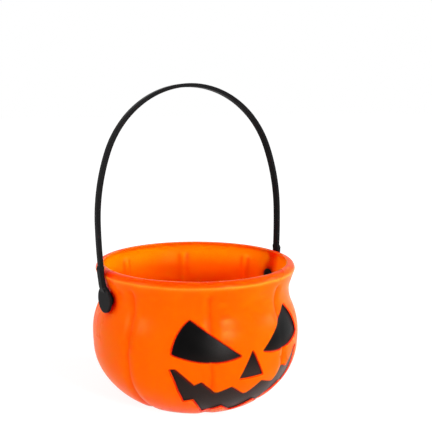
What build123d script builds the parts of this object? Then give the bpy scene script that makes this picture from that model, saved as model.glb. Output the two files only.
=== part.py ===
from build123d import *
from math import atan, cos, degrees, radians, sin, sqrt, tan
import os

# Pumpkin candy pail: a hollow moulded body with a sunk, painted face and one swinging handle.
# Lengths are in millimetres and angles in degrees. The origin is the middle of the flat base,
# +Z is up, the face looks along -Y and the handle swings about a line along X.

# Outside of the body, from the base up to the lip
base_inset = 24.7
belly_radius = 66.0
belly_height = 48.5
belly_arc_radius = 40.0
side_slope = 2.8
side_run = 13.0
turn_arc_radius = 32.0
turn_arc_turn = 27.6
shoulder_inset = 6.2
shoulder_rise = 20.1
shoulder_slope_share = 1.575
flare_rise = 13.4
flare_slope = 18.6
lip_band_height = 3.5
lip_lean = 23.0
wall = 1.6

# Grooves between the lobes: round channels that follow the body's outline
lobes = 8
groove_radius = 2.6
groove_depth = 0.9
groove_end_below_lip = 3.5

# Sunk face, measured on the front view from the pail's middle and from the base
face_depth = 1.2
face_reach_share = 0.55
corner_radius = 0.6
paint_thickness = 0.3
paint_margin = 0.2
paint_clearance = 0.05

eye_pair_offset = 0.3
eye_top_out = 33.2
eye_top_height = 63.3
eye_outer_out = 43.7
eye_outer_height = 43.6
eye_inner_out = 6.5
eye_inner_height = 41.8
eye_side_bow = 2.2
eye_bottom_bow = 3.8

nose_top_height = 44.2
nose_base_height = 27.3
nose_half_width = 8.4

mouth_offset = 1.4
mouth_half_width = 42.9
mouth_bottom_height = 2.6
mouth_height = 33.0
mouth_upper_out_shares = (0.03, 0.23, 0.41, 0.45, 0.64, 0.72, 0.96)
mouth_upper_height_shares = (0.42, 0.61, 0.51, 0.51, 0.745, 0.69, 1.0)
mouth_lower_out_shares = (1.01, 0.88, 0.745, 0.655, 0.43, 0.235, 0.07)
mouth_lower_height_shares = (0.99, 0.55, 0.275, 0.35, 0.02, 0.14, 0.0)

# Handle: one moulding of strap, thick ends, discs and barbed studs, leaning back a little from upright
handle_lean = 2.7
pivot_below_neck = 0.8
strap_foot_above_rim = 1.5
strap_foot_clearance = 0.9
strap_leg_bow = 0.6
strap_bend_above_rim = 25.5
strap_loop_rise = 84.7
strap_crown_narrowing = 5.8
strap_side_width = 4.4
strap_side_thickness = 2.0
strap_crown_width = 5.6
strap_crown_thickness = 2.2
strap_edge_share = 0.3
end_width = 5.2
end_thickness = 3.0
end_above_foot = 1.6
end_step_rise = 1.8
end_overlap = 2.2
end_edge = 0.5
end_lip_clearance = 0.7
disc_radius = 8.0
disc_thickness = 1.5
disc_clearance = 0.5
disc_edge = 0.4
hub_radius = 5.0
hub_clearance = 0.5
stud_radius = 4.0
stud_hole_clearance = 0.3
stud_head_radius = 5.4
stud_head_clearance = 0.6
stud_head_length = 1.8
stud_tip_radius = 3.2
stud_tip_edge = 0.8

os.makedirs("parts", exist_ok=True)

# Heights and radii up the body
neck_radius = belly_radius - shoulder_inset
neck_height = belly_height + shoulder_rise
lip_height = neck_height + flare_rise
pail_height = lip_height + lip_band_height

# The shoulder is two equal arcs joined by a straight run, steeper than the line between its ends
shoulder_slope = shoulder_slope_share * degrees(atan(shoulder_inset / shoulder_rise))
shoulder_sine = sin(radians(shoulder_slope))
shoulder_cosine = cos(radians(shoulder_slope))
shoulder_tangent = tan(radians(shoulder_slope))
shoulder_radius = (shoulder_rise - shoulder_inset / shoulder_tangent) / (2 * tan(radians(shoulder_slope / 2)))
shoulder_run = (shoulder_inset - 2 * shoulder_radius * (1 - shoulder_cosine)) / shoulder_sine

# The flare leaves the neck's arc smoothly and ends at the lip, the widest part of the rim
flare_start_height = neck_height + shoulder_radius * sin(radians(flare_slope))
flare_start_radius = neck_radius + shoulder_radius * (1 - cos(radians(flare_slope)))
lip_radius = flare_start_radius + (lip_height - flare_start_height) * tan(radians(flare_slope))

# The bottom arc leaves the turn arc smoothly and ends on the base's edge
turn_start = radians(side_slope)
turn_end = radians(side_slope + turn_arc_turn)
side_end_radius = belly_radius - belly_arc_radius * (1 - cos(turn_start)) - side_run * sin(turn_start)
side_end_height = belly_height - belly_arc_radius * sin(turn_start) - side_run * cos(turn_start)
turn_end_radius = side_end_radius - turn_arc_radius * (cos(turn_start) - cos(turn_end))
turn_end_height = side_end_height - turn_arc_radius * (sin(turn_end) - sin(turn_start))
bottom_width = turn_end_radius - belly_radius + base_inset
bottom_chord = sqrt(bottom_width ** 2 + turn_end_height ** 2)
bottom_arc_turn = 2 * degrees(radians(90) - turn_end - atan(turn_end_height / bottom_width))
bottom_arc_radius = bottom_chord / (2 * sin(radians(bottom_arc_turn / 2)))


def draw_side(inset, top_height):
    """Draw the body's outline from the base to the flare, moved into the material by inset."""
    belly = (belly_radius - inset, belly_height)
    crest = JernArc(belly, (0, -1), belly_arc_radius - inset, -side_slope)
    side = Line(crest @ 1, (crest @ 1) + (crest % 1) * side_run)
    turn = JernArc(side @ 1, side % 1, turn_arc_radius - inset, -turn_arc_turn)
    bottom = JernArc(turn @ 1, turn % 1, bottom_arc_radius - inset, -bottom_arc_turn)
    upper = JernArc(belly, (0, 1), shoulder_radius - inset, shoulder_slope)
    run = Line(upper @ 1, (upper @ 1) + (upper % 1) * shoulder_run)
    neck = JernArc(run @ 1, run % 1, shoulder_radius + inset, -shoulder_slope - flare_slope)
    flare_length = (top_height - (neck @ 1).Y) / cos(radians(flare_slope))
    flare = Line(neck @ 1, (neck @ 1) + (neck % 1) * flare_length)
    return bottom, flare


def plain_body(inset):
    """The body without its grooves, filled, with its outside moved into the material by inset."""
    mitre = tan(radians((lip_lean - flare_slope) / 2))
    with BuildPart() as body:
        with BuildSketch(Plane.XZ):
            with BuildLine():
                bottom, flare = draw_side(inset, lip_height - inset * mitre)
                lip = flare @ 1
                foot = bottom @ 1
                rim_height = pail_height + inset
                rim_radius = lip.X - (rim_height - lip.Y) * tan(radians(lip_lean))
                Polyline(lip, (rim_radius, rim_height), (0, rim_height), (0, foot.Y), foot)
            make_face()
        revolve(axis=Axis.Z)
    return body.part


def lobed_body(inset):
    """The filled body with a round channel cut along its outline between each two lobes."""
    channel_top_height = lip_height - groove_end_below_lip + inset
    with BuildPart() as body:
        add(plain_body(inset))
        for number in range(lobes):
            turn = radians((number + 0.5) * 360 / lobes)
            meridian = Plane((0, 0, 0), x_dir=(cos(turn), sin(turn), 0), z_dir=(sin(turn), -cos(turn), 0))
            with BuildLine(meridian) as channel:
                bottom, flare = draw_side(groove_depth - groove_radius, channel_top_height)
                Line(bottom @ 1, (bottom @ 1) + (bottom % 1) * 2 * groove_radius)
            path = channel.wire()
            with BuildSketch(Plane(path @ 0, z_dir=path % 0)):
                Circle(groove_radius + inset)
            sweep(path=path, mode=Mode.SUBTRACT)
    return body.part


# Outlines of the face, drawn flat
with BuildSketch() as left_eye_outline:
    with BuildLine():
        eye_top = (-eye_pair_offset - eye_top_out, eye_top_height)
        eye_outer = (-eye_pair_offset - eye_outer_out, eye_outer_height)
        eye_inner = (-eye_pair_offset - eye_inner_out, eye_inner_height)
        SagittaArc(eye_top, eye_outer, -eye_side_bow)
        SagittaArc(eye_outer, eye_inner, -eye_bottom_bow)
        Line(eye_inner, eye_top)
    make_face()
    fillet(left_eye_outline.vertices(), corner_radius)

eye_pair_middle = Plane.YZ.offset(-eye_pair_offset)
with BuildSketch() as right_eye_outline:
    mirror(left_eye_outline.sketch, about=eye_pair_middle)

with BuildSketch() as nose_outline:
    with BuildLine():
        Polyline(
            (0, nose_top_height),
            (-nose_half_width, nose_base_height),
            (nose_half_width, nose_base_height),
            close=True,
        )
    make_face()
    fillet(nose_outline.vertices(), corner_radius)

mouth_out_shares = mouth_upper_out_shares + mouth_lower_out_shares
mouth_height_shares = mouth_upper_height_shares + mouth_lower_height_shares
mouth_outs = [share * mouth_half_width for share in mouth_out_shares]
mouth_heights = [mouth_bottom_height + share * mouth_height for share in mouth_height_shares]
mouth_right = [(out - mouth_offset, height) for out, height in zip(mouth_outs, mouth_heights)]
mouth_left = [(-out - mouth_offset, height) for out, height in zip(mouth_outs, mouth_heights)]
with BuildSketch() as mouth_outline:
    with BuildLine():
        Polyline(*mouth_right, *reversed(mouth_left), close=True)
    make_face()
    fillet(mouth_outline.vertices(), corner_radius)

face_outlines = {
    "left_eye": left_eye_outline.sketch,
    "right_eye": right_eye_outline.sketch,
    "nose": nose_outline.sketch,
    "mouth": mouth_outline.sketch,
}
face_plane = Plane((0, -belly_radius - wall, 0), x_dir=(1, 0, 0), z_dir=(0, -1, 0))


def face_prism(outline, growth):
    """A straight block through the front wall with the outline grown by the given amount."""
    with BuildPart() as prism:
        with BuildSketch(face_plane):
            add(outline)
            offset(amount=growth, mode=Mode.REPLACE)
        extrude(amount=-face_reach_share * belly_radius)
    return prism.part


# Body: the wall follows the lobes, and the sunk face stands out on the inside by its own depth
pivot_height = neck_height - pivot_below_neck
floor_body = plain_body(face_depth)
bed_body = plain_body(face_depth - paint_clearance)
film_body = plain_body(face_depth - paint_clearance - paint_thickness)
swell_body = plain_body(face_depth + wall)

with BuildPart() as core:
    add(lobed_body(wall))
    for outline in face_outlines.values():
        add(face_prism(outline, wall) - swell_body, mode=Mode.SUBTRACT)

with BuildPart() as pail_shell:
    add(lobed_body(0))
    for outline in face_outlines.values():
        add(face_prism(outline, 0) - floor_body, mode=Mode.SUBTRACT)
    add(core.part, mode=Mode.SUBTRACT)
    with BuildSketch(Plane.YZ):
        with Locations((0, pivot_height)):
            Circle(stud_radius + stud_hole_clearance)
    extrude(amount=belly_radius, both=True, mode=Mode.SUBTRACT)

pail_shell.part.label = "pail_shell"
export_step(pail_shell.part, "parts/pail_shell.step")

# Paint: a thin film over the floor of each sunk figure, a hair above it
for name, outline in face_outlines.items():
    with BuildPart() as paint:
        add(face_prism(outline, -paint_margin))
        add(film_body, mode=Mode.INTERSECT)
        add(bed_body, mode=Mode.SUBTRACT)
    paint.part.label = name + "_paint"
    export_step(paint.part, "parts/" + name + "_paint.step")

# The strap's inner face passes outside the lip, and its foot sits just above the rim
strap_inside = lip_radius + strap_foot_clearance
strap_outside = strap_inside + strap_side_thickness
strap_foot = (strap_inside + strap_side_thickness / 2, pail_height + strap_foot_above_rim)
strap_half_width = strap_foot[0] + strap_leg_bow
strap_bend_height = pail_height + strap_bend_above_rim
strap_top_height = strap_bend_height + strap_loop_rise

# The strap's crown is one arc, and a wider arc on each side meets it smoothly
crown_radius = strap_half_width - strap_crown_narrowing
crown_centre_height = strap_top_height - crown_radius
crown_rise = crown_centre_height - strap_bend_height
side_radius = (strap_half_width ** 2 + crown_rise ** 2 - crown_radius ** 2) / (2 * strap_crown_narrowing)
joint_share = crown_radius / (side_radius - crown_radius)
crown_joint = ((side_radius - strap_half_width) * joint_share, crown_centre_height + crown_rise * joint_share)

# The disc and the hub behind it stand clear of the shoulder at their lowest points,
# and the stud's head stands clear of the neck's inside
disc_drop = neck_height - pivot_height + disc_radius
shoulder_at_disc = neck_radius + shoulder_radius * (1 - shoulder_cosine) + (
    disc_drop - shoulder_radius * shoulder_sine) * shoulder_tangent
disc_inside = shoulder_at_disc + disc_clearance
disc_outside = disc_inside + disc_thickness
hub_drop = neck_height - pivot_height + hub_radius
shoulder_at_hub = neck_radius + shoulder_radius - sqrt(shoulder_radius ** 2 - hub_drop ** 2)
hub_inside = shoulder_at_hub + hub_clearance
stud_head_back = neck_radius - wall - stud_head_clearance
stud_tip = stud_head_back - stud_head_length
pivot_line = Axis((0, 0, pivot_height), (1, 0, 0))

# Thick end of the strap, drawn from the side: it leans in under the lip and carries the disc
end_top_height = pail_height + strap_foot_above_rim + end_above_foot
disc_top_height = pivot_height + disc_radius
with BuildPart() as thick_end:
    with BuildSketch(Plane.XZ):
        with BuildLine():
            Polyline(
                (strap_inside, end_top_height),
                (lip_radius + end_lip_clearance, lip_height),
                (disc_inside, disc_top_height - end_overlap),
                (disc_outside, disc_top_height - end_overlap),
                (disc_inside + end_thickness, disc_top_height),
                (strap_inside + end_thickness, end_top_height - end_step_rise),
                (strap_outside, end_top_height),
                close=True,
            )
        make_face()
    extrude(amount=end_width / 2, both=True)
    fillet(thick_end.faces().sort_by(Axis.X)[-1].edges(), end_edge)

with BuildPart() as handle:
    with BuildLine(Plane.XZ) as strap_path:
        bend = (strap_half_width, strap_bend_height)
        leg = TangentArc(bend, strap_foot, tangent=(0, -1))
        side = TangentArc(bend, crown_joint, tangent=(0, 1))
        mirror(leg, about=Plane.YZ)
        mirror(side, about=Plane.YZ)
        ThreePointArc(crown_joint, (0, strap_top_height), (-crown_joint[0], crown_joint[1]))
    path = strap_path.wire()
    side_section = (strap_side_width, strap_side_thickness)
    crown_section = (strap_crown_width, strap_crown_thickness)
    for place, (width, thickness) in ((0, side_section), (0.5, crown_section), (1, side_section)):
        with BuildSketch(Plane(path @ place, x_dir=(0, 1, 0), z_dir=path % place)):
            RectangleRounded(width, thickness, thickness * strap_edge_share)
    sweep(path=path, multisection=True)
    add(thick_end.part)

    # Disc, hub and barbed stud, turned about the pivot line
    with BuildSketch(Plane((0, 0, pivot_height), x_dir=(1, 0, 0), z_dir=(0, -1, 0))) as stud_profile:
        with BuildLine():
            Polyline(
                (stud_tip, 0),
                (stud_tip, stud_tip_radius),
                (stud_head_back, stud_head_radius),
                (stud_head_back, stud_radius),
                (hub_inside, stud_radius),
                (hub_inside, hub_radius),
                (disc_inside, disc_radius),
                (disc_outside, disc_radius),
                (disc_outside, 0),
                close=True,
            )
        make_face()
        rim_corners = stud_profile.vertices().sort_by(Axis.Y)[-2:]
        tip_corner = stud_profile.vertices().sort_by(Axis.X)[:2].sort_by(Axis.Y)[-1]
        fillet(rim_corners, disc_edge)
        fillet(tip_corner, stud_tip_edge)
    revolve(axis=pivot_line)
    mirror(about=Plane.YZ)

leaning_handle = handle.part.rotate(pivot_line, -handle_lean)
leaning_handle.label = "handle"
export_step(leaning_handle, "parts/handle.step")
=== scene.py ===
import math

import bmesh
import bpy
import numpy as np
from mathutils import Matrix, Vector
from mathutils.geometry import delaunay_2d_cdt


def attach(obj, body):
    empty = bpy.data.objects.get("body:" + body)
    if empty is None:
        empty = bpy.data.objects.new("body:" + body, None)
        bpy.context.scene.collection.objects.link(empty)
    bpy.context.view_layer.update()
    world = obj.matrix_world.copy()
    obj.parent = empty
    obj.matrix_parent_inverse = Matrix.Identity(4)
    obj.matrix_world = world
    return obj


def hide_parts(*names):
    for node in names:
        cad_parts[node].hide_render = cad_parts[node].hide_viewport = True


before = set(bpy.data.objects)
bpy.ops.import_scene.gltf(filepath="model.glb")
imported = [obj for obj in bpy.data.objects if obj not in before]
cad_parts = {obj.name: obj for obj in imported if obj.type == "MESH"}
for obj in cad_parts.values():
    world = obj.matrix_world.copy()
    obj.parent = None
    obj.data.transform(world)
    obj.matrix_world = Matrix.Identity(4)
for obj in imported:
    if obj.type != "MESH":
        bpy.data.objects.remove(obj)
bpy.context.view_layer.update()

# Pail shell: one thin injection moulding in satin orange polyethylene, slightly see-through to light.
# Eight lobes meet in soft grooves, the rim flares out and ends in a broad rounded lip, and the
# carved face is pressed into the front wall, so that it stands out again on the inside.
mm = 0.001
wall = 1.6
base_radius = 42.8
base_edge_round = 1.6
belly_radius, belly_height = 65.97, 40.7
belly_arc_radius = 42.9
side_slope, side_run = 3.8, 4.4
turn_arc_radius, turn_slope = 36.2, 32.7
neck_radius, neck_height = 59.8, 68.6
shoulder_arc_radius = 44.1
flare_slope, flare_arc_radius, lip_height = 18.6, 16.5, 82.0
rim_height = 85.5
lip_lean, lip_round, band_run = 18.0, 0.8, 1.35
roll_lean, roll_radius, roll_run = 102.0, 3.2, 1.1
inner_flare_slope, inner_flare_run = 9.0, 8.0
inner_lip_lean, inner_lip_round, inner_lip_run = 16.0, 8.0, 2.9
rim_bulge = 0.15
lobes = 8
groove_depth, groove_floor, groove_half_width = 1.25, 0.35, 5.8
ridge_depth, ridge_floor, ridge_half_width = 1.5, 1.0, 5.5
groove_end = (75.6, 78.8)
face_depth = 1.25
recess_edge = (-0.4, 0.3)
swell_edge = (-2.2, -0.6)
stud_hole_radius = 4.3
pivot_height = 67.8


def smooth(low, high, value):
    share = np.clip((np.asarray(value, float) - low) / (high - low), 0, 1)
    return share * share * (3 - 2 * share)


def direction(angle):
    return np.array([math.cos(angle), math.sin(angle)])


def walk(bends, way, inset):
    """Places and outward normals from the belly up or down, along arcs and runs, set in by inset."""
    angle = 0.0
    place = np.array([belly_radius - inset, belly_height])
    places, normals = [place], [direction(angle)]
    for lean, size in bends:
        if lean is None:
            along = way * np.array([-math.sin(angle), math.cos(angle)])
            for share in np.linspace(0, 1, max(2, round(size / 1.6)) + 1)[1:]:
                places.append(place + along * size * share)
                normals.append(direction(angle))
        else:
            radius = size - inset
            middle = place - radius * direction(angle)
            turn = math.radians(lean) - angle
            steps = max(3, math.ceil(abs(turn) / math.radians(9)), math.ceil(abs(turn * radius) / 2.0))
            for share in np.linspace(0, 1, steps + 1)[1:]:
                normals.append(direction(angle + turn * share))
                places.append(middle + radius * normals[-1])
            angle = math.radians(lean)
        place = places[-1]
    return places, normals


# The shoulder is two arcs that meet at its steepest place,
# and the bottom arc ends in the base's rounded edge
shoulder_slope = 2 * math.atan2(belly_radius - neck_radius, neck_height - belly_height)
neck_arc_radius = (neck_height - belly_height) / math.sin(shoulder_slope) - shoulder_arc_radius
flare = math.radians(flare_slope)
flare_run = (lip_height - neck_height - flare_arc_radius * math.sin(flare)) / math.cos(flare)
sides = [(-side_slope, belly_arc_radius), (None, side_run), (-turn_slope, turn_arc_radius)]
turn_end = walk(sides, -1, 0.0)[0][-1]
chord = turn_end - np.array([base_radius, 0.0])
bottom_turn = 2 * (math.radians(90 - turn_slope) - math.atan2(chord[1], chord[0]))
bottom_radius = np.linalg.norm(chord) / (2 * math.sin(bottom_turn / 2))
bottom_middle = turn_end - bottom_radius * direction(math.radians(-turn_slope))
base_rise = (bottom_middle[1] - base_edge_round) / (bottom_radius - base_edge_round)
base_lean = -math.degrees(math.asin(base_rise))

# Above the neck the outside rolls over into the lip, and the inside runs up nearly straight to meet it
lip_cut = lip_round * math.tan(math.radians(flare_slope + lip_lean) / 2)
outer_bends = [(-flare_slope, -flare_arc_radius), (None, flare_run - lip_cut), (lip_lean, lip_round)]
outer_bends += [(None, band_run - lip_cut), (roll_lean, roll_radius), (None, roll_run)]
inner_bends = [(-inner_flare_slope, -flare_arc_radius), (None, inner_flare_run)]
inner_bends += [(inner_lip_lean, inner_lip_round), (None, inner_lip_run)]


def side_outline(inset, bends):
    """Radius, height and outward normal of the wall from the base's edge to the rim, set in by inset."""
    down = sides + [(base_lean, bottom_radius)]
    up = [(math.degrees(shoulder_slope), shoulder_arc_radius), (0.0, -neck_arc_radius)] + bends
    low_places, low_normals = walk(down, -1, inset)
    high_places, high_normals = walk(up, 1, inset)
    return np.array(low_places[:0:-1] + high_places), np.array(low_normals[:0:-1] + high_normals)


def outline(corners, bows=None):
    """A closed line through the corners, each side bowed outwards by its own amount, with soft corners."""
    line = []
    for number, start in enumerate(corners):
        start = np.array(start)
        across = np.array(corners[(number + 1) % len(corners)]) - start
        out = np.array([across[1], -across[0]]) / np.linalg.norm(across)
        share = np.linspace(0, 1, max(3, round(np.linalg.norm(across) / 0.25)), endpoint=False)[:, None]
        bow = bows[number] if bows else 0.0
        line.append(start + across * share + out * bow * 4 * share * (1 - share))
    line = np.concatenate(line)
    for _ in range(3):
        line = (np.roll(line, 1, 0) + line + np.roll(line, -1, 0)) / 3
    return line


eye_left = ((-33.5, 63.3), (-44.6, 44.3), (-8.0, 42.2))
eye_right = ((7.2, 42.7), (43.2, 45.2), (31.0, 64.3))
eye_side_bow, eye_bottom_bow, eye_brow_bow = 2.2, 3.4, -0.5
nose_corners = ((-0.5, 44.2), (-8.4, 28.2), (7.6, 28.2))
mouth_offset = 2.6
mouth_half_width = 42.9
mouth_stretch, mouth_tilt = 1.045, 0.03
mouth_bottom, mouth_height = 2.6, 33.0
upper_shares = ((0.03, 0.435), (0.23, 0.63), (0.41, 0.53), (0.45, 0.53), (0.64, 0.765), (0.72, 0.70))
end_shares = ((0.945, 1.0), (0.995, 0.99))
lower_shares = ((0.875, 0.59), (0.765, 0.345), (0.671, 0.395), (0.433, 0.025), (0.243, 0.18), (0.042, 0.0))
mouth_half = [
    (out * mouth_half_width, mouth_bottom + up * mouth_height)
    for out, up in upper_shares + end_shares + lower_shares
]
mouth_left = [(-out - mouth_offset, up) for out, up in mouth_half]
mouth_right = [
    (out * mouth_stretch - mouth_offset, up + out * mouth_tilt)
    for out, up in reversed(mouth_half)
]
face_lines = {
    "left_eye": outline(eye_left, (eye_side_bow, eye_bottom_bow, eye_brow_bow)),
    "right_eye": outline(eye_right, (eye_bottom_bow, eye_side_bow, eye_brow_bow)),
    "nose": outline(nose_corners),
    "mouth": outline(mouth_left + mouth_right),
}


def depth_inside(line, places):
    """How far each place lies inside a closed line, below zero outside it."""
    ends = np.roll(line, -1, 0)
    steps = ends - line
    length = (steps ** 2).sum(1)
    result = np.empty(len(places))
    for first in range(0, len(places), 2000):
        part = places[first:first + 2000]
        away = part[:, None, :] - line[None]
        share = np.clip((away * steps[None]).sum(2) / length, 0, 1)
        gap = np.sqrt(((away - share[..., None] * steps[None]) ** 2).sum(2)).min(1)
        crosses = (line[None, :, 1] > part[:, 1:2]) != (ends[None, :, 1] > part[:, 1:2])
        rise = np.where(np.abs(steps[:, 1]) > 1e-12, steps[:, 1], 1e-12)
        reach = line[None, :, 0] + (part[:, 1:2] - line[None, :, 1]) / rise[None] * steps[None, :, 0]
        inside_line = (crosses & (part[:, 0:1] < reach)).sum(1) % 2 == 1
        result[first:first + 2000] = np.where(inside_line, gap, -gap)
    return result


def moved_line(line, amount, spacing):
    """The closed line moved inwards by amount and thinned to a spacing, without loops at its corners."""
    along = np.roll(line, -1, 0) - np.roll(line, 1, 0)
    along /= np.linalg.norm(along, axis=1)[:, None]
    moved = line + amount * np.column_stack([-along[:, 1], along[:, 0]])
    moved = moved[np.abs(depth_inside(line, moved) - amount) < 0.02]
    kept = [moved[0]]
    for place in moved[1:]:
        if np.linalg.norm(place - kept[-1]) >= spacing:
            kept.append(place)
    if np.linalg.norm(kept[-1] - kept[0]) < spacing * 0.6:
        kept.pop()
    return np.array(kept)


class Wall:
    """One skin of the pail's wall, unrolled about the axis, with the front of the pail at zero turn."""

    def __init__(self, inset, bends):
        self.places, self.normals = side_outline(inset, bends)
        steps = np.linalg.norm(np.diff(self.places, axis=0), axis=1)
        self.rows = np.concatenate([[0], np.cumsum(steps)])
        self.side = self.places[:self.places[:, 1].argmax() + 1]

    def row_at(self, height):
        return np.interp(height, self.side[:, 1], self.rows[:len(self.side)])

    def radius_at(self, height):
        return np.interp(height, self.side[:, 1], self.side[:, 0])

    def place_at(self, row):
        return [np.interp(row, self.rows, self.places[:, side]) for side in (0, 1)]

    def front_view(self, turn, row):
        radius, height = self.place_at(row)
        return np.column_stack([radius * np.sin(turn), height])

    def unroll(self, across, height):
        """Place on the unrolled wall of a place that is given on the front view."""
        turn = np.arcsin(np.clip(across / self.radius_at(height), -1, 1))
        return np.column_stack([turn, self.row_at(height)])

    def point(self, turn, row, sink):
        radius, height = self.place_at(row)
        lean = [np.interp(row, self.rows, self.normals[:, side]) for side in (0, 1)]
        radius = radius - sink * lean[0]
        return np.column_stack([radius * np.sin(turn), -radius * np.cos(turn), height - sink * lean[1]])


def grooves(turn, radius, height, floor, half_width):
    """Near one at the middle of each groove between two lobes, and zero at its sides and top end."""
    step = 2 * math.pi / lobes
    away = np.hypot(floor, ((turn / step) % 1 - 0.5) * step * radius)
    return np.clip(1 - away / half_width, 0, 1) ** 2 * (1 - smooth(*groove_end, height))


def sunk(turn, radius, height, edge):
    """Zero on the plain wall and one on the floor of the sunk face, sloped between the two edges."""
    share = np.zeros(len(turn))
    front = np.nonzero(np.abs(turn) < 1.2)[0]
    view = np.column_stack([radius * np.sin(turn), height])[front]
    for line in face_lines.values():
        share[front] = np.maximum(share[front], smooth(*edge, depth_inside(line, view)))
    return share


def outer_sink(side, turn, row):
    radius, height = side.place_at(row)
    groove = grooves(turn, radius, height, groove_floor, groove_half_width)
    share = sunk(turn, radius, height, recess_edge)
    return groove * groove_depth * (1 - share) + share * (face_depth + 0.12 * groove)


def inner_sink(side, turn, row):
    radius, height = side.place_at(row)
    groove = grooves(turn, radius, height, ridge_floor, ridge_half_width)
    share = sunk(turn, radius, height, swell_edge)
    return groove * ridge_depth * (1 - share) + share * face_depth


half_lobe = math.pi / lobes
steps_off_groove = (0, 0.4, 0.8, 1.2, 1.7, 2.4, 3.2, 4.2, 5.4, 6.4, 7, 7.6, 10.5, 14, 18, 22)
turn_steps = np.array(steps_off_groove) / belly_radius
groove_turns = (np.arange(lobes) - lobes / 2 + 0.5) * 2 * half_lobe
lobe_turns = np.arange(-lobes / 2, lobes / 2 + 1) * 2 * half_lobe
near_grooves = [middle + side * turn_steps for middle in groove_turns for side in (-1, 1)]
turns = np.unique(np.concatenate([lobe_turns] + near_grooves).round(6))
turns[0], turns[-1] = -math.pi, math.pi


hole_sides = 32
clear_of_edges = 0.5


def skin(side, edges, spacing, sink):
    """Triangles over one skin, with edges along the sides of the sunk face and round the stud holes."""
    lines = []
    for line in face_lines.values():
        lines += [side.unroll(*moved_line(line, edge, spacing).T) for edge in edges]
    spin = np.linspace(0, 2 * math.pi, hole_sides, endpoint=False)
    hole_heights = pivot_height + stud_hole_radius * np.sin(spin)
    lean = np.arcsin(stud_hole_radius * np.cos(spin) / side.radius_at(hole_heights))
    holes = [np.column_stack([end * math.pi / 2 + lean, side.row_at(hole_heights)]) for end in (-1, 1)]
    grid = np.array([(turn, row) for row in side.rows for turn in turns])
    taken = np.concatenate(lines + holes)
    inner = (grid[:, 1] > 0.01) & (grid[:, 1] < side.rows[-1] - 0.01) & (np.abs(grid[:, 0]) < 3.0)
    keep = np.ones(len(grid), bool)
    for number in np.nonzero(inner)[0]:
        near = taken[np.abs(taken[:, 1] - grid[number, 1]) < clear_of_edges]
        if len(near):
            away = (near - grid[number]) * (belly_radius, 1.0)
            keep[number] = np.hypot(*away.T).min() >= clear_of_edges
    flat, joins, count = [grid[keep]], [], int(keep.sum())
    for line in lines + holes:
        joins += [(count + number, count + (number + 1) % len(line)) for number in range(len(line))]
        flat.append(line)
        count += len(line)
    flat = np.concatenate(flat) * (belly_radius, 1.0)
    filled = delaunay_2d_cdt([Vector(place) for place in flat], joins, [], 0, 1e-5)
    places = np.array(filled[0]) / (belly_radius, 1.0)
    faces = np.array([tuple(face) for face in filled[2]])
    points = side.point(*places.T, sink(side, *places.T))
    middle = points[faces].mean(1)
    in_hole = np.hypot(middle[:, 1], middle[:, 2] - pivot_height) < stud_hole_radius * 0.998
    faces = faces[~(in_hole & (np.abs(middle[:, 0]) > neck_radius / 2))]
    return points, faces, [side.point(*hole.T, sink(side, *hole.T)) for hole in holes]


outside = Wall(0.0, outer_bends)
inside = Wall(wall, inner_bends)
recess_levels = np.linspace(*recess_edge, 5)
recess_spacing = 0.45
# Lines just outside the figures' sloped sides, where the painted recess shade lies
recess_shade_levels = (-1.0, -0.7)
outer_levels = [*recess_shade_levels, *recess_levels]
outer_points, outer_faces, outer_rims = skin(outside, outer_levels, recess_spacing, outer_sink)
inner_points, inner_faces, inner_rims = skin(inside, np.linspace(*swell_edge, 3), 0.9, inner_sink)
pail_points = [outer_points, inner_points]
pail_faces = [tuple(face) for face in outer_faces]
pail_faces += [tuple(face[::-1] + len(outer_points)) for face in inner_faces]


def turned(radius, height, sink=0.0, normal=(1.0, 0.0)):
    """A ring of points about the axis."""
    around = turns[:-1]
    radius = radius - sink * normal[0]
    height = height - sink * normal[1] + 0 * around
    return np.column_stack([radius * np.sin(around), -radius * np.cos(around), height])


def add_bands(rings, closed):
    """Bands of faces between closed rings of points, and a last face over the end ring if closed."""
    first = sum(len(points) for points in pail_points)
    size = len(rings[0])
    pail_points.append(np.concatenate(rings))
    for number in range(len(rings) - 1):
        low = first + number * size
        for step in range(size):
            after = (step + 1) % size
            pail_faces.append((low + step, low + size + step, low + size + after, low + after))
    if closed:
        pail_faces.append(tuple(range(first + (len(rings) - 1) * size, first + len(rings) * size)))


base_flat_run = 4.0
base_rings, floor_rings = [], []
base_angle = math.radians(base_lean)
base_middle = outside.places[0] - base_edge_round * direction(base_angle)
base_sinks = groove_depth * grooves(turns[:-1], outside.places[0][0], 0.0, groove_floor, groove_half_width)
for share in np.linspace(0, 1, 6):
    normal = direction(base_angle + (-math.pi / 2 - base_angle) * share)
    place = base_middle + base_edge_round * normal
    base_rings.append(turned(*place, base_sinks * (1 - 0.35 * share), normal))
floor_sinks = inner_sink(inside, turns[:-1], 0 * turns[:-1])
floor_rings.append(turned(*inside.places[0], floor_sinks, inside.normals[0]))
for share in (0.35, 0.7, 1.0):
    fading = base_sinks * (1 - share)
    base_rings.append(turned(base_middle[0] - base_flat_run * share, 0.0, fading * 0.65, (0, -1)))
    floor_rings.append(turned(inside.places[0][0] - base_flat_run * share, wall, fading * -0.8, (0, 1)))
for share in (0.7, 0.35):
    base_rings.append(turned(base_radius * share, 0.0))
    floor_rings.append(turned(base_radius * share, wall))
add_bands(base_rings, True)
add_bands([ring[::-1] for ring in floor_rings], True)

rim_rings = []
rim_step = inside.places[-1] - outside.places[-1]
for share in np.linspace(0, 1, 5):
    bulge = rim_bulge * math.sin(share * math.pi) * direction(math.radians(roll_lean + inner_lip_lean + 40))
    rim_rings.append(turned(*(outside.places[-1] + share * rim_step + bulge)))
add_bands(rim_rings[::-1], False)
for outer_rim, inner_rim in zip(outer_rims, inner_rims):
    add_bands([outer_rim, inner_rim] if outer_rim[0, 0] < 0 else [inner_rim, outer_rim], False)


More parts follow.
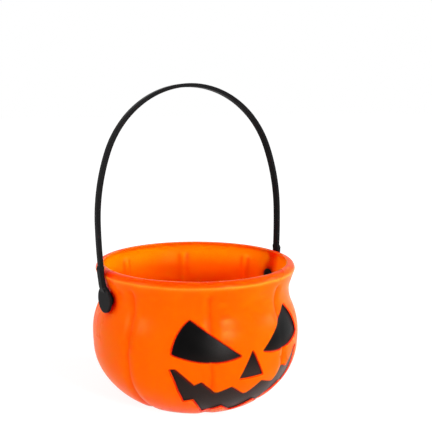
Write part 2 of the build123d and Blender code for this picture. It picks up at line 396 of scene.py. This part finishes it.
def piece(name, points, faces, finish):
    """A smooth shaded mesh object from points in millimetres, with its doubled points joined."""
    shape = bpy.data.meshes.new(name)
    corners = [tuple(point) for point in np.asarray(points) * mm]
    shape.from_pydata(corners, [], [tuple(map(int, face)) for face in faces])
    work = bmesh.new()
    work.from_mesh(shape)
    bmesh.ops.remove_doubles(work, verts=work.verts, dist=0.002 * mm)
    bmesh.ops.recalc_face_normals(work, faces=work.faces)
    for face in work.faces:
        face.smooth = True
    work.to_mesh(shape)
    work.free()
    shape.materials.append(finish)
    made = bpy.data.objects.new(name, shape)
    bpy.context.scene.collection.objects.link(made)
    return made


def mark(shape, name, measure):
    """Store a number on each point of a mesh, measured from its place in millimetres and its normal."""
    places = np.array([tuple(vert.co) for vert in shape.vertices]) / mm
    normals = np.array([tuple(vert.normal) for vert in shape.vertices])
    values = np.asarray(measure(places, normals), np.float32)
    shape.attributes.new(name, "FLOAT", "POINT").data.foreach_set("value", values)


def moulded_finish(name, colours, marks, patch_size, roughness, grain_size, grain_height):
    """A finish with slow patches of colour and roughness, a fine grain, and other colours where marked."""
    material = bpy.data.materials.new(name)
    material.use_nodes = True
    nodes, links = material.node_tree.nodes, material.node_tree.links
    shader = nodes["Principled BSDF"]
    spot = nodes.new("ShaderNodeTexCoord").outputs["Object"]
    textures = []
    for size, detail in ((patch_size, 4), (grain_size, 2)):
        texture = nodes.new("ShaderNodeTexNoise")
        texture.inputs["Scale"].default_value = 1 / (size * mm)
        texture.inputs["Detail"].default_value = detail
        links.new(spot, texture.inputs["Vector"])
        textures.append(texture.outputs["Fac"])
    patches, grain = textures
    blend = nodes.new("ShaderNodeMix")
    blend.data_type = "RGBA"
    links.new(patches, blend.inputs["Factor"])
    blend.inputs["A"].default_value, blend.inputs["B"].default_value = colours[0], colours[1]
    speckle = nodes.new("ShaderNodeMapRange")
    links.new(grain, speckle.inputs["Value"])
    for key, value in (("From Min", 0.35), ("From Max", 0.6), ("To Min", 0.7), ("To Max", 1.0)):
        speckle.inputs[key].default_value = value
    colour = blend.outputs["Result"]
    # Each marked colour is mixed in here, the painted light and shade as well as the wear
    for marked, tint in marks.items():
        amount = nodes.new("ShaderNodeAttribute")
        amount.attribute_name = marked
        broken = nodes.new("ShaderNodeMath")
        broken.operation = "MULTIPLY"
        links.new(amount.outputs["Fac"], broken.inputs[0])
        links.new(speckle.outputs["Result"], broken.inputs[1])
        tinted = nodes.new("ShaderNodeMix")
        tinted.data_type = "RGBA"
        links.new(broken.outputs[0], tinted.inputs["Factor"])
        links.new(colour, tinted.inputs["A"])
        tinted.inputs["B"].default_value = tint
        colour = tinted.outputs["Result"]
    links.new(colour, shader.inputs["Base Color"])
    rough = nodes.new("ShaderNodeMapRange")
    links.new(patches, rough.inputs["Value"])
    rough_range = {"From Min": 0.3, "From Max": 0.7, "To Min": roughness[0], "To Max": roughness[1]}
    for key, value in rough_range.items():
        rough.inputs[key].default_value = value
    links.new(rough.outputs["Result"], shader.inputs["Roughness"])
    bump = nodes.new("ShaderNodeBump")
    bump.inputs["Strength"].default_value = 1.0
    bump.inputs["Distance"].default_value = grain_height * mm
    links.new(grain, bump.inputs["Height"])
    links.new(bump.outputs["Normal"], shader.inputs["Normal"])
    return material, shader


orange_colours = ((1.0, 0.092, 0.0, 1), (1.0, 0.112, 0.0003, 1))
# Marked colours: painted shade, painted light and a painted highlight, and wear on the base's edge
orange_marks = {
    "painted_lip_shade": (1.0, 0.066, 0.0, 1),
    "painted_shine_through": (1.0, 0.26, 0.0, 1),
    "painted_deep_shade": (1.0, 0.058, 0.0, 1),
    "painted_ridge_shade": (1.0, 0.085, 0.0, 1),
    "painted_groove_shade": (1.0, 0.062, 0.0, 1),
    "painted_recess_shade": (0.6, 0.005, 0.001, 1),
    "painted_handle_shadow": (0.9, 0.01, 0.0, 1),
    "edge_highlight_and_wear": (1.0, 0.27, 0.02, 1),
}
orange, shader = moulded_finish(
    "satin_orange_plastic", orange_colours, orange_marks,
    patch_size=26, roughness=(0.25, 0.34), grain_size=0.5, grain_height=0.008,
)
shader.inputs["Specular IOR Level"].default_value = 0.038
shader.inputs["Specular Tint"].default_value = (1.0, 0.95, 0.3, 1)
shader.inputs["Subsurface Weight"].default_value = 0.85
shader.inputs["Subsurface Radius"].default_value = (1.0, 0.06, 0.01)
shader.inputs["Subsurface Scale"].default_value = 14.0 * mm

# Heights and widths of the shaded and shining places that are stored as colour on the wall
groove_shade_floor, groove_shade_half_width, groove_shade_start = 0.3, 3.6, 6.0
ridge_side_middle, ridge_side_width = 2.8, 1.4
shine_heights = (66.5, 81.0)
deep_heights = (22.0, 70.0)
stud_shade, disc_shade_spread = (4.5, 8.5), 3.0
strap_shade, strap_shade_drift, strap_shade_narrowing = (4.4, 8.0), 0.22, 0.1


def edge_highlight_and_wear(places, normals):
    """Painted highlight on the lip's cut edge and outermost edge, and wear on the base's edge."""
    radius, height = np.hypot(places[:, 0], places[:, 1]), places[:, 2]
    rim = 1 - smooth(0.2, 0.9, radius - outside.places[-1][0])
    rim = rim * smooth(rim_height - 3, rim_height - 1, height)
    lip = np.exp(-((height - lip_height) / 0.6) ** 2)
    lip = lip * smooth(-1.0, 0.0, radius - outside.radius_at(height))
    base = 1 - smooth(0.2, 1.4, height)
    return np.maximum(np.maximum(0.6 * rim, 0.7 * lip), 0.6 * base)


def is_inside(places, normals):
    """One where the wall faces the axis and on the pail's floor, and zero elsewhere."""
    out = (places[:, :2] * normals[:, :2]).sum(1) / np.maximum(np.hypot(places[:, 0], places[:, 1]), 1e-6)
    floor = smooth(0.1, 0.4, normals[:, 2]) * (places[:, 2] < neck_height / 2)
    return np.maximum(1 - smooth(-0.35, -0.1, out), floor)


def painted_groove_shade(places, normals):
    """Painted shade in the bottoms of the grooves on the outside, which less light reaches."""
    turn = np.arctan2(places[:, 0], -places[:, 1])
    radius = np.hypot(places[:, 0], places[:, 1])
    groove = grooves(turn, radius, places[:, 2], groove_shade_floor, groove_shade_half_width)
    return groove * (1 - is_inside(places, normals)) * smooth(0, groove_shade_start, places[:, 2])


def painted_recess_shade(places, normals):
    """Painted shade in a narrow line round each sunk figure, strongest at the top of its sloped side."""
    share = np.zeros(len(places))
    front = np.nonzero(places[:, 1] < -0.3 * belly_radius)[0]
    for line in face_lines.values():
        depth = depth_inside(line, places[front][:, [0, 2]])
        share[front] = np.maximum(share[front], smooth(recess_shade_levels[0], recess_edge[0], depth))
    return share * (1 - is_inside(places, normals))


def painted_lip_shade(places, normals):
    """Painted shade on the lip's bead, a deeper orange than the wall below."""
    return smooth(lip_height + 0.3, lip_height + 1.3, places[:, 2]) * (1 - is_inside(places, normals))


def painted_shine_through(places, normals):
    """Painted light on the top of the inside, where light comes through the wall."""
    below_rim = 1 - smooth(rim_height - 3, rim_height - 1.5, places[:, 2])
    return is_inside(places, normals) * smooth(*shine_heights, places[:, 2]) * below_rim


def painted_deep_shade(places, normals):
    """Painted shade on the lower inside, lit only by red light off and through the wall."""
    return is_inside(places, normals) * (1 - smooth(*deep_heights, places[:, 2]))


def painted_ridge_shade(places, normals):
    """Painted shade beside each ridge on the inside, where the wall turns away from the light."""
    step = 2 * math.pi / lobes
    turn = np.arctan2(places[:, 0], -places[:, 1])
    away = np.abs((turn / step) % 1 - 0.5) * step * np.hypot(places[:, 0], places[:, 1])
    sides = 0.85 * np.exp(-(((away - ridge_side_middle) / ridge_side_width) ** 2))
    return is_inside(places, normals) * sides * (1 - smooth(*groove_end, places[:, 2]))


def painted_handle_shadow(places, normals):
    """Painted shadow round each stud and up the strap, where only red light comes through the wall."""
    on_inside = is_inside(places, normals)
    above = places[:, 2] - pivot_height
    from_pivot = np.hypot(places[:, 1], above)
    near = 1 - smooth(*stud_shade, from_pivot - disc_shade_spread * (1 - on_inside))
    across = np.abs(places[:, 1] + strap_shade_drift * above) + strap_shade_narrowing * above
    reached = np.maximum(on_inside, smooth(lip_height - 3, lip_height - 1, places[:, 2]))
    streak = (1 - smooth(*strap_shade, across)) * smooth(0, 3, above) * reached
    return np.maximum(near, streak) * (np.abs(places[:, 0]) > neck_radius / 2)


pail = piece("pail_shell_visual", np.concatenate(pail_points), pail_faces, orange)
pail_measures = (
    painted_lip_shade, painted_shine_through, painted_deep_shade, painted_ridge_shade, painted_groove_shade, painted_recess_shade, painted_handle_shadow, edge_highlight_and_wear
)
for measure in pail_measures:
    mark(pail.data, measure.__name__, measure)
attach(pail, "pail")
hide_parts("pail_shell")

# Painted face: black satin paint sprayed through a mask into the sunk eyes, nose and mouth.
# The film covers the floors and runs out thin and reddish part of the way up the sloped sides.
film_thickness, film_bedding = 0.2, 0.05
film_spacing = 1.2
film_levels = [*recess_levels[2:], 0.6]
paint_colours = ((0.0004, 0.0003, 0.0003, 1), (0.0012, 0.001, 0.001, 1))
# Painted reflection and painted sheen on the black paint, and paint that runs out thin at the figures' edges
paint_marks = {
    "painted_reflection": (0.047, 0.03, 0.026, 1),
    "painted_sheen": (0.12, 0.11, 0.107, 1),
    "thin_paint": (0.09, 0.006, 0.002, 1),
}
paint, shader = moulded_finish(
    "black_face_paint", paint_colours, paint_marks,
    patch_size=9, roughness=(0.34, 0.44), grain_size=0.35, grain_height=0.03,
)
shader.inputs["Specular IOR Level"].default_value = 0.05
# Where the painted sheen lies on the left eye and the mouth's right end
sheen_eye, sheen_eye_reach = (-17.0, 48.0), (8.0, 7.0)
sheen_mouth_across, sheen_mouth_heights = (12.0, 44.0), (30.0, 37.0)
reflection_across, reflection_heights = (-110.0, 70.0), (24.0, 48.0)


def painted_sheen(places, normals):
    """Painted sheen on the inner half of the left eye and on the mouth's right end."""
    from_eye = (places[:, [0, 2]] - sheen_eye) / sheen_eye_reach
    eye = 0.2 * np.exp(-(from_eye ** 2).sum(1))
    low = 1 - smooth(*sheen_mouth_heights, places[:, 2])
    mouth_end = smooth(*sheen_mouth_across, places[:, 0]) * low
    return np.maximum(eye, mouth_end)


def painted_reflection(places, normals):
    """Painted reflection on the nose and the mouth, paler towards the right."""
    return (1 - smooth(*reflection_heights, places[:, 2])) * smooth(*reflection_across, places[:, 0])


def thin_paint(line):
    """A measure of where the film of one figure runs out thin up its sloped side."""
    return lambda places, normals: 1 - smooth(film_levels[0], 0.5, depth_inside(line, places[:, [0, 2]]))


for name, line in face_lines.items():
    rims = [outside.unroll(*moved_line(line, level, recess_spacing).T) for level in film_levels]
    low, high = rims[0].min(0), rims[0].max(0)
    rows = np.arange(low[1], high[1], film_spacing)
    columns = np.arange(low[0], high[0], film_spacing / belly_radius)
    grid = np.array([(turn, row) for row in rows for turn in columns])
    grid = grid[depth_inside(line, outside.front_view(*grid.T)) > film_levels[-1] + 0.4]
    joins, count = [], 0
    for rim in rims:
        joins += [(count + number, count + (number + 1) % len(rim)) for number in range(len(rim))]
        count += len(rim)
    flat = np.concatenate(rims + [grid]) * (belly_radius, 1.0)
    filled = delaunay_2d_cdt([Vector(place) for place in flat], joins, [], 0, 1e-5)
    places = np.array(filled[0]) / (belly_radius, 1.0)
    faces = np.array([tuple(face) for face in filled[2]])
    view = outside.front_view(*places.T)
    faces = faces[depth_inside(line, view[faces].mean(1)) > film_levels[0] - 0.01]
    bed = outer_sink(outside, *places.T)
    lift = film_thickness * (0.3 + 0.7 * smooth(film_levels[0], film_levels[-1], depth_inside(line, view)))
    top = outside.point(*places.T, bed - lift)
    bottom = outside.point(*places.T, bed + film_bedding)
    all_faces = [tuple(face) for face in faces] + [tuple(face[::-1] + len(top)) for face in faces]
    count = len(rims[0])
    for step in range(count):
        after = (step + 1) % count
        all_faces.append((step, after, len(top) + after, len(top) + step))
    film = piece(name + "_film", np.concatenate([top, bottom]), all_faces, paint)
    mark(film.data, "thin_paint", thin_paint(line))
    mark(film.data, "painted_reflection", painted_reflection)
    mark(film.data, "painted_sheen", painted_sheen)
    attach(film, "pail")
    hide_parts(name + "_paint")

# Handle: one black polypropylene moulding, a thin springy strap with a thick end and a round disc
# on each side. A barbed stud behind each disc is pressed through the hole in the neck, and the
# handle swings on the two studs.
handle_lean = 2.7
lip_radius = outside.places[:, 0][outside.places[:, 1] > neck_height].max()
strap_inside = lip_radius + 0.55
side_width, side_thickness = 4.9, 2.2
crown_width, crown_thickness = 5.6, 2.3
strap_edge = 0.45
strap_foot = (strap_inside + side_thickness / 2, rim_height + 1.5)
strap_bend = (strap_foot[0] + 0.9, rim_height + 27.5)
strap_top = strap_bend[1] + 82.6
crown_narrowing = 3.8
disc_radius, disc_inside, disc_outside = 8.0, 62.05, 64.26
hub_radius, hub_inside = 4.4, 61.7
end_width, end_thickness = 5.7, 3.0
end_top = strap_foot[1] + 1.6
disc_top = pivot_height + disc_radius
end_outline = (
    (strap_inside, end_top),
    (lip_radius + 0.7, lip_height),
    (disc_inside, disc_top - 3.5),
    (disc_outside, disc_top - 3.5),
    (disc_outside + 1.4, disc_top - 0.6),
    (strap_inside + end_thickness, end_top - 1.8),
    (strap_inside + side_thickness, end_top),
)
stud_radius, head_radius, tip_radius = 4.0, 5.4, 3.2
head_back, stud_tip = 57.9, 56.5
stud_outline = (
    (stud_tip, tip_radius - 0.6),
    (stud_tip + 0.3, tip_radius),
    (head_back, head_radius),
    (head_back, stud_radius),
    (hub_inside, stud_radius),
    (hub_inside, hub_radius),
    (disc_inside, disc_radius),
    (disc_outside, disc_radius),
)
black_colours = ((0.006, 0.0057, 0.006, 1), (0.0115, 0.011, 0.0115, 1))
# On the handle this mark is wear on the discs' outer edges
black_marks = {"edge_highlight_and_wear": (0.02, 0.02, 0.021, 1)}
black, shader = moulded_finish(
    "black_handle_plastic", black_colours, black_marks,
    patch_size=14, roughness=(0.28, 0.38), grain_size=0.4, grain_height=0.012,
)
shader.inputs["Specular IOR Level"].default_value = 0.012

crown_radius = strap_bend[0] - crown_narrowing
crown_middle = strap_top - crown_radius
crown_rise = crown_middle - strap_bend[1]
side_radius = (strap_bend[0] ** 2 + crown_rise ** 2 - crown_radius ** 2) / (2 * crown_narrowing)
leg = np.subtract(strap_bend, strap_foot)
leg_radius = (leg @ leg) / (2 * leg[0])
leg_turn = math.asin(leg[1] / leg_radius)
side_turn = math.atan2(crown_rise, side_radius - strap_bend[0])
half_path = []
for radius, middle, start, end, steps in (
    (leg_radius, (strap_bend[0] - leg_radius, strap_bend[1]), -leg_turn, 0.0, 12),
    (side_radius, (strap_bend[0] - side_radius, strap_bend[1]), 0.0, side_turn, 25),
    (crown_radius, (0.0, crown_middle), side_turn, math.pi / 2, 33),
):
    arc = [np.array(middle) + radius * direction(turn) for turn in np.linspace(start, end, steps + 1)]
    half_path += arc[1:] if half_path else arc
path_points = half_path + [(-out, up) for out, up in reversed(half_path[:-1])]
path = bpy.data.curves.new("strap_path", "CURVE")
path.dimensions = "3D"
run = path.splines.new("POLY")
run.points.add(len(path_points) - 1)
for point, (out, up) in zip(run.points, path_points):
    point.co = (out * mm, 0, up * mm, 1)

sweep = bpy.data.node_groups.new("strap_sweep", "GeometryNodeTree")
sweep.interface.new_socket("Path", in_out="INPUT", socket_type="NodeSocketGeometry")
strap_sizes = {
    "Side width": side_width * mm,
    "Side thickness": side_thickness * mm,
    "Edge radius": strap_edge * mm,
    "Crown thickening": crown_thickness / side_thickness - 1,
    "Crown widening": crown_width / side_width / (crown_thickness / side_thickness) - 1,
}
sockets = {
    name: sweep.interface.new_socket(name, in_out="INPUT", socket_type="NodeSocketFloat")
    for name in strap_sizes
}
finish_socket = sweep.interface.new_socket("Finish", in_out="INPUT", socket_type="NodeSocketMaterial")
sweep.interface.new_socket("Strap", in_out="OUTPUT", socket_type="NodeSocketGeometry")


def sweep_node(kind, settings=None, **links):
    """A node of the sweep with its settings, its inputs set to numbers or linked by name or place."""
    made = sweep.nodes.new(kind)
    for key, value in (settings or {}).items():
        setattr(made, key, value)
    for key, source in links.items():
        by_place = key[0] == "i" and key[1:].isdigit()
        socket = made.inputs[int(key[1:])] if by_place else made.inputs[key.replace("_", " ")]
        if isinstance(source, (int, float)):
            socket.default_value = source
        else:
            sweep.links.new(source, socket)
    return made


given = sweep.nodes.new("NodeGroupInput").outputs
mult_add = {"operation": "MULTIPLY_ADD"}
along = sweep_node("GeometryNodeSplineParameter").outputs["Factor"]
doubled = sweep_node("ShaderNodeMath", mult_add, i0=along, i1=2.0, i2=-1.0).outputs[0]
off_crown = sweep_node("ShaderNodeMath", {"operation": "ABSOLUTE"}, i0=doubled).outputs[0]
crown = sweep_node("ShaderNodeMath", {"operation": "SUBTRACT"}, i0=1.0, i1=off_crown).outputs[0]
kept = sweep_node("GeometryNodeCaptureAttribute", {"domain": "POINT"})
kept.capture_items.new("FLOAT", "crown")
sweep.links.new(given["Path"], kept.inputs["Geometry"])
sweep.links.new(crown, kept.inputs["crown"])
swell = sweep_node("ShaderNodeMath", mult_add, i0=crown, i1=given["Crown thickening"], i2=1.0).outputs[0]
section = sweep_node(
    "GeometryNodeCurvePrimitiveQuadrilateral", Width=given["Side width"], Height=given["Side thickness"]
)
rounded = sweep_node(
    "GeometryNodeFilletCurve", {"mode": "POLY"}, Curve=section.outputs[0], Radius=given["Edge radius"]
)
rounded.inputs["Count"].default_value = 4
swept = sweep_node(
    "GeometryNodeCurveToMesh", Curve=kept.outputs["Geometry"], Profile_Curve=rounded.outputs[0], Scale=swell
)
swept.inputs["Fill Caps"].default_value = True
crown_there = kept.outputs["crown"]
widen = sweep_node("ShaderNodeMath", mult_add, i0=crown_there, i1=given["Crown widening"], i2=1.0).outputs[0]
stretch = sweep_node("ShaderNodeCombineXYZ", X=1.0, Y=widen, Z=1.0).outputs[0]
place = sweep_node("GeometryNodeInputPosition").outputs[0]
spread = sweep_node("ShaderNodeVectorMath", {"operation": "MULTIPLY"}, i0=place, i1=stretch).outputs[0]
moved = sweep_node("GeometryNodeSetPosition", Geometry=swept.outputs[0], Position=spread).outputs[0]
real = sweep_node("GeometryNodeRealizeInstances", Geometry=moved).outputs[0]
done = sweep_node("GeometryNodeSetMaterial", Geometry=real, Material=given["Finish"]).outputs[0]
sweep.links.new(done, sweep.nodes.new("NodeGroupOutput").inputs["Strap"])

strap = bpy.data.objects.new("strap", path)
bpy.context.scene.collection.objects.link(strap)
modifier = strap.modifiers.new("strap_sweep", "NODES")
modifier.node_group = sweep
for name, size in strap_sizes.items():
    modifier[sockets[name].identifier] = size
modifier[finish_socket.identifier] = black
strap_mesh = bpy.data.meshes.new_from_object(strap.evaluated_get(bpy.context.evaluated_depsgraph_get()))
bpy.data.objects.remove(strap)

# One end of the handle: the thick end, the disc and the stud melt into one rounded body
end_grain = 0.26
work = bmesh.new()
corners = [work.verts.new((out * mm, -end_width / 2 * mm, up * mm)) for out, up in end_outline]
pushed = bmesh.ops.extrude_face_region(work, geom=[work.faces.new(corners)])
for vert in (item for item in pushed["geom"] if isinstance(item, bmesh.types.BMVert)):
    vert.co.y += end_width * mm
spin = np.linspace(0, 2 * math.pi, 64, endpoint=False)
rings = []
for out, size in stud_outline:
    circle = [(out, size * math.sin(turn), pivot_height + size * math.cos(turn)) for turn in spin]
    rings.append([work.verts.new(Vector(place) * mm) for place in circle])
for low, high in zip(rings, rings[1:]):
    for step in range(len(spin)):
        after = (step + 1) % len(spin)
        work.faces.new((low[step], low[after], high[after], high[step]))
work.faces.new(rings[0])
work.faces.new(rings[-1])
bmesh.ops.recalc_face_normals(work, faces=work.faces)
end_mesh = bpy.data.meshes.new("handle_end")
work.to_mesh(end_mesh)
work.free()
end = bpy.data.objects.new("handle_end", end_mesh)
bpy.context.scene.collection.objects.link(end)
melt = end.modifiers.new("melt", "REMESH")
melt.mode = "VOXEL"
melt.voxel_size = end_grain * mm
ease = end.modifiers.new("ease", "SMOOTH")
ease.factor = 0.5
ease.iterations = 5
end_mesh = bpy.data.meshes.new_from_object(end.evaluated_get(bpy.context.evaluated_depsgraph_get()))
bpy.data.objects.remove(end)

work = bmesh.new()
work.from_mesh(strap_mesh)
bmesh.ops.recalc_face_normals(work, faces=work.faces)
work.from_mesh(end_mesh)
end_mesh.transform(Matrix.Rotation(math.pi, 4, "Z"))
work.from_mesh(end_mesh)
pivot = Vector((0, 0, pivot_height * mm))
hang = Matrix.Rotation(math.radians(-handle_lean), 3, "X")
bmesh.ops.rotate(work, verts=work.verts, cent=pivot, matrix=hang)
for face in work.faces:
    face.smooth = True
    face.material_index = 0
handle_mesh = bpy.data.meshes.new("handle_visual")
work.to_mesh(handle_mesh)
work.free()
handle_mesh.materials.append(black)


def disc_edges(places, normals):
    """The outer edge of each disc."""
    from_pivot = np.hypot(places[:, 1], places[:, 2] - pivot_height)
    near_edge = np.exp(-((from_pivot - disc_radius) / 0.35) ** 2)
    return near_edge * smooth(-0.8, -0.2, np.abs(places[:, 0]) - disc_outside)


mark(handle_mesh, "edge_highlight_and_wear", disc_edges)
handle = bpy.data.objects.new("handle_visual", handle_mesh)
bpy.context.scene.collection.objects.link(handle)
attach(handle, "handle")
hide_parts("handle")

# Stage: a wide white sheet under and behind the pail, a white surround and soft lamps.
# The camera stands at the photograph's viewing angle.
def shows_background(nodes, links):
    """One for the rays that see the background: from the camera, off a gloss or through a clear piece."""
    rays = nodes.new("ShaderNodeLightPath")
    total = rays.outputs["Is Camera Ray"]
    for kind in ("Is Glossy Ray", "Is Transmission Ray"):
        joined = nodes.new("ShaderNodeMath")
        joined.operation = "MAXIMUM"
        links.new(total, joined.inputs[0])
        links.new(rays.outputs[kind], joined.inputs[1])
        total = joined.outputs[0]
    return total


floor_half, floor_drop = 6.0, 0.0005
floor_mesh = bpy.data.meshes.new("floor")
floor_signs = ((-1, -1), (1, -1), (1, 1), (-1, 1))
floor_corners = [(across * floor_half, deep * floor_half, -floor_drop) for across, deep in floor_signs]
floor_mesh.from_pydata(floor_corners, [], [(0, 1, 2, 3)])
floor = bpy.data.objects.new("floor", floor_mesh)
bpy.context.scene.collection.objects.link(floor)
sheet = bpy.data.materials.new("white_sheet")
sheet.use_nodes = True
nodes, links = sheet.node_tree.nodes, sheet.node_tree.links
nodes.remove(nodes["Principled BSDF"])
matte = nodes.new("ShaderNodeBsdfDiffuse")
matte.inputs["Color"].default_value = (0.93, 0.93, 0.93, 1)
dim = nodes.new("ShaderNodeBsdfDiffuse")
dim.inputs["Color"].default_value = (0.22, 0.22, 0.22, 1)
reach = nodes.new("ShaderNodeVectorMath")
reach.operation = "LENGTH"
links.new(nodes.new("ShaderNodeTexCoord").outputs["Object"], reach.inputs[0])
fade = nodes.new("ShaderNodeMapRange")
fade.interpolation_type = "SMOOTHSTEP"
links.new(reach.outputs["Value"], fade.inputs["Value"])
for key, value in (("From Min", 0.1), ("From Max", 0.5), ("To Min", 0.87), ("To Max", 1.0)):
    fade.inputs[key].default_value = value
glow = nodes.new("ShaderNodeEmission")
links.new(fade.outputs["Result"], glow.inputs["Strength"])
both = nodes.new("ShaderNodeAddShader")
links.new(glow.outputs[0], both.inputs[0])
links.new(dim.outputs[0], both.inputs[1])
pick = nodes.new("ShaderNodeMixShader")
links.new(shows_background(nodes, links), pick.inputs[0])
links.new(matte.outputs[0], pick.inputs[1])
links.new(both.outputs[0], pick.inputs[2])
links.new(pick.outputs[0], nodes["Material Output"].inputs["Surface"])
floor_mesh.materials.append(sheet)

world = bpy.data.worlds.new("white_surround")
bpy.context.scene.world = world
world.use_nodes = True
nodes, links = world.node_tree.nodes, world.node_tree.links
surround = nodes["Background"]
surround.inputs["Color"].default_value = (1, 1, 1, 1)
level = nodes.new("ShaderNodeMapRange")
links.new(shows_background(nodes, links), level.inputs["Value"])
level.inputs["To Min"].default_value = 0.38
level.inputs["To Max"].default_value = 1.0
links.new(level.outputs["Result"], surround.inputs["Strength"])

# Softboxes by turn from the front, rise, width, height and power, all a metre from the pail
softboxes = {
    "front_softbox": (5, 18, 0.17, 0.19, 9.0),
    "right_softbox": (64, 18, 0.17, 0.20, 4.5),
    "left_softbox": (-93, 20, 0.17, 0.19, 4.6),
    "top_softbox": (0, 86, 0.8, 0.8, 0.6),
}
aim = Vector((0, 0, 0.06))
for name, (turn, rise, width, height, power) in softboxes.items():
    lamp = bpy.data.lights.new(name, "AREA")
    lamp.shape = "RECTANGLE"
    lamp.size, lamp.size_y = width, height
    lamp.energy = power
    made = bpy.data.objects.new(name, lamp)
    turn, rise = math.radians(turn), math.radians(rise)
    away = Vector((math.sin(turn) * math.cos(rise), -math.cos(turn) * math.cos(rise), math.sin(rise)))
    made.location = aim + away
    made.rotation_mode = "QUATERNION"
    made.rotation_quaternion = away.to_track_quat("Z", "Y")
    bpy.context.scene.collection.objects.link(made)

camera = bpy.data.cameras.new("photo_camera")
camera.lens = 62.75
camera.sensor_width = 36
camera.shift_x = 0.0482
camera.clip_start = 0.01
camera_dip, camera_turn = 8.97, -30.79
viewer = bpy.data.objects.new("photo_camera", camera)
viewer.location = (-0.2415, -0.4053, 0.18805)
viewer.rotation_euler = (math.radians(90 - camera_dip), 0, math.radians(camera_turn))
bpy.context.scene.collection.objects.link(viewer)
bpy.context.scene.camera = viewer
bpy.context.scene.view_settings.view_transform = "Standard"
